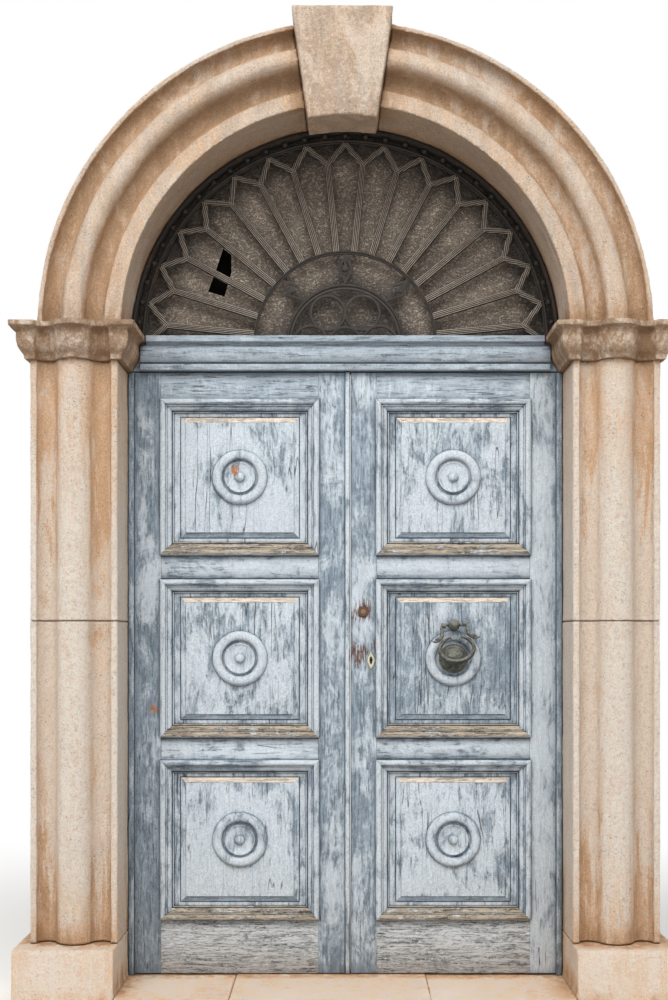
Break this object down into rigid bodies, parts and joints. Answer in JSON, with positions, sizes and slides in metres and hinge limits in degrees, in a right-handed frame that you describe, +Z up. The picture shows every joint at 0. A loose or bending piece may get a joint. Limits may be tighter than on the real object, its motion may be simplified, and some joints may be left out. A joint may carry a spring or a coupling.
{
  "type": "arched wooden door",
  "caption": "Double door of panelled, painted timber leaves under an iron fanlight, in a round-arched moulded stone surround.",
  "frame": {"origin": "centre line of the opening, in the plane of the leaves' faces, at the underside of the threshold", "axes": "+Z up, +X to the right seen from the street, -Y towards the street, +Y into the room"},
  "size_m": [2.224, 0.49, 3.321],
  "materials": {
    "dressed_stone": "dressed limestone, weathered",
    "threshold_stone": "worn limestone slab",
    "painted_frame": "worn slate-blue paint on timber",
    "painted_leaf": "worn blue-grey paint on timber",
    "painted_moulding": "worn blue-grey paint on timber",
    "painted_panel": "pale blue-grey paint on timber",
    "grille_iron": "weathered iron",
    "pebbled_glass": "pebbled, dusty",
    "forged_iron": "black iron",
    "knocker_bronze": "dark green patina",
    "lock_steel": "dark painted steel",
    "rusty_brass": "tarnished",
    "pale_brass": "worn"
  },
  "bodies": {
    "surround": {"plinth_left": "dressed_stone", "plinth_right": "dressed_stone", "shaft_lower_left": "dressed_stone", "shaft_lower_right": "dressed_stone", "shaft_upper_left": "dressed_stone", "shaft_upper_right": "dressed_stone", "impost_left": "dressed_stone", "impost_right": "dressed_stone", "archivolt_left": "dressed_stone", "archivolt_right": "dressed_stone", "keystone": "dressed_stone", "threshold_left": "threshold_stone", "threshold_middle": "threshold_stone", "threshold_right": "threshold_stone", "jamb_left": "painted_frame", "jamb_right": "painted_frame", "transom": "painted_frame", "grille_frame": "grille_iron", "grille_rings": "grille_iron", "grille_spokes": "grille_iron", "grille_ornaments": "grille_iron", "grille_rosace": "grille_iron", "fanlight_sash": "painted_frame", "fanlight_glass": "pebbled_glass", "hinge_pintles": "forged_iron"},
    "left_leaf": {"left_hinge_stile": "painted_leaf", "left_meeting_stile": "painted_leaf", "left_bottom_rail": "painted_leaf", "left_lower_rail": "painted_leaf", "left_upper_rail": "painted_leaf", "left_top_rail": "painted_leaf", "left_panels": "painted_panel", "left_mouldings": "painted_moulding", "left_rosettes": "painted_moulding", "left_hinge_straps": "forged_iron", "meeting_bead": "painted_frame", "keeps_and_guides": "lock_steel"},
    "right_leaf": {"right_hinge_stile": "painted_leaf", "right_meeting_stile": "painted_leaf", "right_bottom_rail": "painted_leaf", "right_lower_rail": "painted_leaf", "right_upper_rail": "painted_leaf", "right_top_rail": "painted_leaf", "right_panels": "painted_panel", "right_mouldings": "painted_moulding", "right_rosettes": "painted_moulding", "right_hinge_straps": "forged_iron", "knocker_mount": "knocker_bronze", "knocker_striker": "knocker_bronze", "lock_cases": "lock_steel", "lock_cylinder": "rusty_brass", "escutcheon": "pale_brass"},
    "knocker": {"knocker_ring": "knocker_bronze"},
    "plug": {"lock_plug": "rusty_brass"},
    "upper_bolt": {"upper_lock_bolt": "lock_steel"},
    "lower_bolt": {"lower_lock_bolt": "lock_steel"},
    "top_shoot": {"top_shoot_bolt": "lock_steel"},
    "bottom_shoot": {"bottom_shoot_bolt": "lock_steel"}
  },
  "joints": [
    {"name": "left_leaf_swing", "type": "hinge", "parent": "surround", "child": "left_leaf", "pos_m": [-0.7465, 0.059, 1.1], "axis": [0, 0, 1], "range_deg": [0, 105]},
    {"name": "right_leaf_swing", "type": "hinge", "parent": "surround", "child": "right_leaf", "pos_m": [0.7465, 0.059, 1.1], "axis": [0, 0, -1], "range_deg": [0, 105]},
    {"name": "knocker_swing", "type": "hinge", "parent": "right_leaf", "child": "knocker", "pos_m": [0.3775, -0.034, 1.279], "axis": [-1, 0, 0], "range_deg": [0, 80]},
    {"name": "plug_turn", "type": "hinge", "parent": "right_leaf", "child": "plug", "pos_m": [0.0627, 0.02, 1.326], "axis": [0, 1, 0], "range_deg": [0, 180]},
    {"name": "upper_bolt_slide", "type": "slide", "parent": "right_leaf", "child": "upper_bolt", "axis": [-1, 0, 0], "range_m": [0, 0.022]},
    {"name": "lower_bolt_slide", "type": "slide", "parent": "right_leaf", "child": "lower_bolt", "axis": [-1, 0, 0], "range_m": [0, 0.022]},
    {"name": "top_shoot_slide", "type": "slide", "parent": "left_leaf", "child": "top_shoot", "axis": [0, 0, 1], "range_m": [0, 0.036]},
    {"name": "bottom_shoot_slide", "type": "slide", "parent": "left_leaf", "child": "bottom_shoot", "axis": [0, 0, -1], "range_m": [0, 0.036]}
  ],
  "couplings": [
    {"joint": "plug_turn", "follows": "upper_bolt_slide", "rad_per_m": 142.79}
  ]
}
